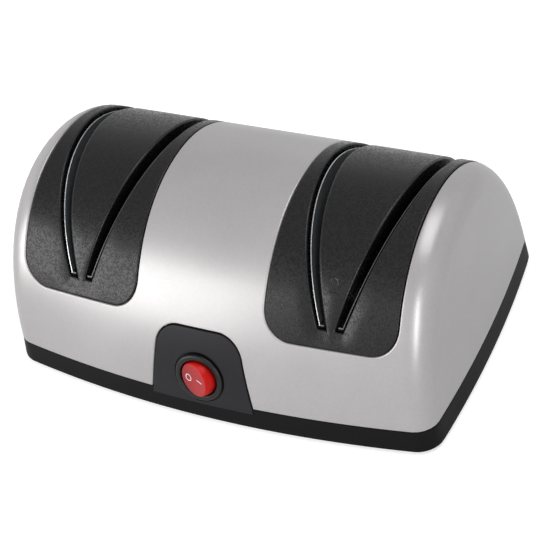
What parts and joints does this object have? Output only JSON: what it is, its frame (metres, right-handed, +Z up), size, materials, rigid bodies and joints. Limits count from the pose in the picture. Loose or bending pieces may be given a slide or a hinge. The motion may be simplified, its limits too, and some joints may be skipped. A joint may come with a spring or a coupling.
{
  "type": "electric knife sharpener",
  "caption": "Two-stage electric knife sharpener: bowed silver housing on a dark tray, slanted blade slots over motor-driven abrasive discs, and a round rocker switch",
  "frame": {"origin": "on the floor under the middle of the object's outer box", "axes": "+X along the length to the right as seen from the front, -Y to the front where the switch is, +Z up"},
  "size_m": [0.2022, 0.1394, 0.0863],
  "materials": {
    "tray": "satin charcoal moulding",
    "housing": "satin silver paint",
    "module": "finely grained black moulding",
    "spring": "blackened spring strip with bright cut edges",
    "bezel": "satin black moulding",
    "rocker": "clear red moulding",
    "coarse": "bonded coarse abrasive",
    "fine": "bonded fine abrasive",
    "nylon": "plain nylon",
    "zinc": "zinc-plated steel",
    "iron": "laminated iron",
    "ferrite": "dark ferrite",
    "copper": "copper",
    "carbon": "carbon",
    "bronze": "sintered bronze",
    "foot": "black rubber"
  },
  "bodies": {
    "base": {"tray": "tray", "housing": "housing", "left_guide_module": "module", "left_bush": "bronze", "left_end_bell": "zinc", "left_motor_strap": "zinc", "right_guide_module": "module", "right_bush": "bronze", "right_end_bell": "zinc", "right_motor_strap": "zinc", "motor_can": "zinc", "front_magnet": "ferrite", "front_brush": "carbon", "back_magnet": "ferrite", "back_brush": "carbon", "switch_body": "bezel", "left_switch_terminal": "copper", "right_switch_terminal": "copper", "left_front_housing_screw": "zinc", "left_front_strap_screw": "zinc", "left_front_foot": "foot", "left_back_housing_screw": "zinc", "left_back_strap_screw": "zinc", "left_back_foot": "foot", "right_front_housing_screw": "zinc", "right_front_strap_screw": "zinc", "right_front_foot": "foot", "right_back_housing_screw": "zinc", "right_back_strap_screw": "zinc", "right_back_foot": "foot"},
    "rotor": {"left_stage_left_disc": "coarse", "left_stage_left_collar": "zinc", "left_stage_right_disc": "coarse", "left_stage_right_collar": "zinc", "left_stage_spacer": "nylon", "right_stage_left_disc": "fine", "right_stage_left_collar": "zinc", "right_stage_right_disc": "fine", "right_stage_right_collar": "zinc", "right_stage_spacer": "nylon", "shaft": "zinc", "rotor_core": "iron", "commutator": "copper"},
    "rocker": {"switch_rocker": "rocker"},
    "left_guide_left_spring_leaf": {"left_guide_left_spring": "spring"},
    "left_guide_right_spring_leaf": {"left_guide_right_spring": "spring"},
    "right_guide_left_spring_leaf": {"right_guide_left_spring": "spring"},
    "right_guide_right_spring_leaf": {"right_guide_right_spring": "spring"}
  },
  "joints": [
    {"name": "rotor_spin", "type": "hinge", "parent": "base", "child": "rotor", "pos_m": [0, -0.01161, 0.038], "axis": [1, 0, 0], "continuous": true},
    {"name": "switch_rock", "type": "hinge", "parent": "base", "child": "rocker", "pos_m": [0, -0.0638, 0.02196], "axis": [0, 0.1987, 0.9801], "range_deg": [0, 36.67]},
    {"name": "left_guide_left_spring_flex", "type": "hinge", "parent": "base", "child": "left_guide_left_spring_leaf", "pos_m": [-0.0686, 0.00239, 0.0518], "axis": [0.1093, -0.994, 0], "range_deg": [0, 0.9], "stiffness_Nm_per_rad": 2},
    {"name": "left_guide_right_spring_flex", "type": "hinge", "parent": "base", "child": "left_guide_right_spring_leaf", "pos_m": [-0.0474, 0.00239, 0.0518], "axis": [0.1093, 0.994, 0], "range_deg": [0, 0.9], "stiffness_Nm_per_rad": 2},
    {"name": "right_guide_left_spring_flex", "type": "hinge", "parent": "base", "child": "right_guide_left_spring_leaf", "pos_m": [0.0474, 0.00239, 0.0518], "axis": [0.1093, -0.994, 0], "range_deg": [0, 0.9], "stiffness_Nm_per_rad": 2},
    {"name": "right_guide_right_spring_flex", "type": "hinge", "parent": "base", "child": "right_guide_right_spring_leaf", "pos_m": [0.0686, 0.00239, 0.0518], "axis": [0.1093, 0.994, 0], "range_deg": [0, 0.9], "stiffness_Nm_per_rad": 2}
  ]
}
